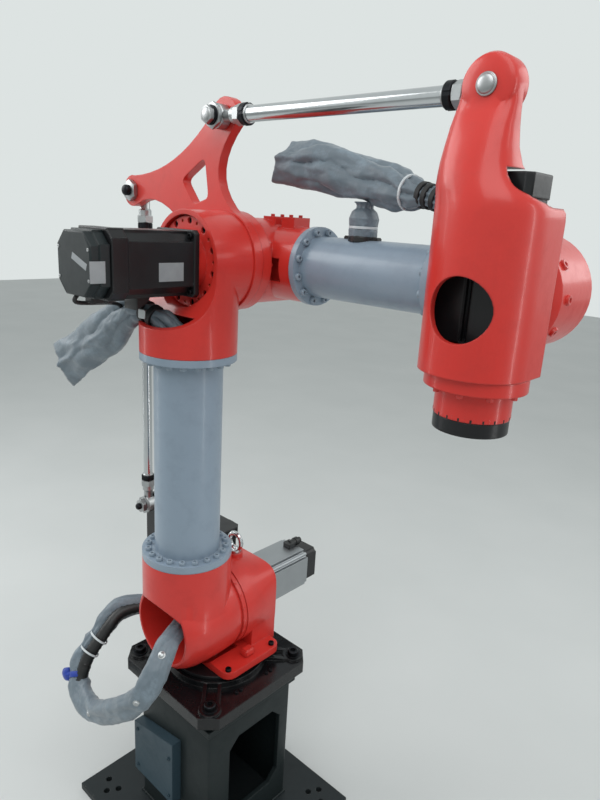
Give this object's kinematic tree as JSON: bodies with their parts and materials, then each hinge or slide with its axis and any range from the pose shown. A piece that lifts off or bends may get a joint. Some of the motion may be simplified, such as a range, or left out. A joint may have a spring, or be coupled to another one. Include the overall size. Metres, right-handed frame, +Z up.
{
  "type": "industrial robot arm",
  "caption": "Floor-standing palletising arm on a steel pedestal: turning base, lower arm, forearm and level head held upright by two parallel rod linkages.",
  "frame": {"origin": "underside of the floor plate, on the waist axis", "axes": "+Z up, +X along the level forearm away from the column, +Y to the side on which the forearm lies"},
  "size_m": [1.1038, 0.6775, 1.765],
  "materials": {
    "red_paint": "glossy vermilion enamel over castings",
    "grey_paint": "satin blue-grey enamel",
    "plate_paint": "dark grey paint",
    "slate_paint": "slate grey paint",
    "black_paint": "black enamel",
    "aluminium": "bare die casting",
    "bright_steel": "chromed steel",
    "cloth": "grey coated cloth"
  },
  "bodies": {
    "base": {"floor_plate": "plate_paint", "pedestal_post": "plate_paint", "pedestal_top_plate": "plate_paint", "pedestal_side_box": "slate_paint", "base_casting": "black_paint"},
    "turret": {"slewing_ring": "black_paint", "turret_casting": "red_paint", "j1_motor": "black_paint", "j2_motor": "aluminium", "j2_motor_cap": "black_paint", "eye_bolt": "bright_steel", "rod_bracket": "black_paint", "rod_bracket_pin": "bright_steel", "lower_sleeve": "cloth"},
    "lower_arm": {"lower_elbow": "red_paint", "column_tube": "grey_paint", "upper_housing": "red_paint", "elbow_reducer": "red_paint", "j3_motor": "black_paint", "j3_motor_cap": "black_paint", "upper_sleeve": "cloth"},
    "lower_rod": {"lower_rod": "bright_steel", "lower_rod_end_near": "bright_steel", "lower_rod_end_far": "bright_steel"},
    "lever": {"lever_plate": "red_paint", "lever_rod_pin": "bright_steel", "mast_pin": "bright_steel"},
    "upper_rod": {"upper_rod": "bright_steel", "upper_rod_end_near": "bright_steel", "upper_rod_end_far": "bright_steel"},
    "forearm": {"forearm_elbow": "red_paint", "forearm_tube": "grey_paint", "wrist_housing": "red_paint", "cable_stub": "cloth", "forearm_sleeve": "cloth"},
    "head": {"head_shell": "red_paint", "head_pin": "bright_steel", "j4_motor": "black_paint", "head_adaptor": "red_paint", "tool_reducer": "red_paint"},
    "tool": {"tool_disc": "black_paint"}
  },
  "joints": [
    {"name": "waist_turn", "type": "hinge", "parent": "base", "child": "turret", "pos_m": [0, 0, 0.4815], "axis": [0, 0, 1], "range_deg": [-165, 165]},
    {"name": "shoulder_tilt", "type": "hinge", "parent": "turret", "child": "lower_arm", "pos_m": [-0.025, 0, 0.595], "axis": [0, 1, 0], "range_deg": [-20, 60]},
    {"name": "lower_rod_swing", "type": "hinge", "parent": "turret", "child": "lower_rod", "pos_m": [-0.359, 0.0434, 0.735], "axis": [0, 1, 0], "range_deg": [-20, 60]},
    {"name": "lever_turn", "type": "hinge", "parent": "lower_arm", "child": "lever", "pos_m": [-0.025, 0, 1.437], "axis": [0, 1, 0], "range_deg": [-60, 20]},
    {"name": "elbow_tilt", "type": "hinge", "parent": "lever", "child": "forearm", "pos_m": [-0.025, 0, 1.437], "axis": [0, 1, 0], "range_deg": [-30, 35]},
    {"name": "upper_rod_swing", "type": "hinge", "parent": "lever", "child": "upper_rod", "pos_m": [-0.025, -0.0042, 1.723], "axis": [0, 1, 0], "range_deg": [-30, 35]},
    {"name": "head_level", "type": "hinge", "parent": "forearm", "child": "head", "pos_m": [0.586, 0, 1.437], "axis": [0, 1, 0], "range_deg": [-35, 30]},
    {"name": "tool_turn", "type": "hinge", "parent": "head", "child": "tool", "pos_m": [0.604, -0.007, 1.25], "axis": [0, 0, 1], "continuous": true}
  ],
  "couplings": [
    {"joint": "lower_rod_swing", "follows": "shoulder_tilt", "ratio": 1},
    {"joint": "lever_turn", "follows": "shoulder_tilt", "ratio": -1},
    {"joint": "upper_rod_swing", "follows": "elbow_tilt", "ratio": 1},
    {"joint": "head_level", "follows": "elbow_tilt", "ratio": -1}
  ]
}
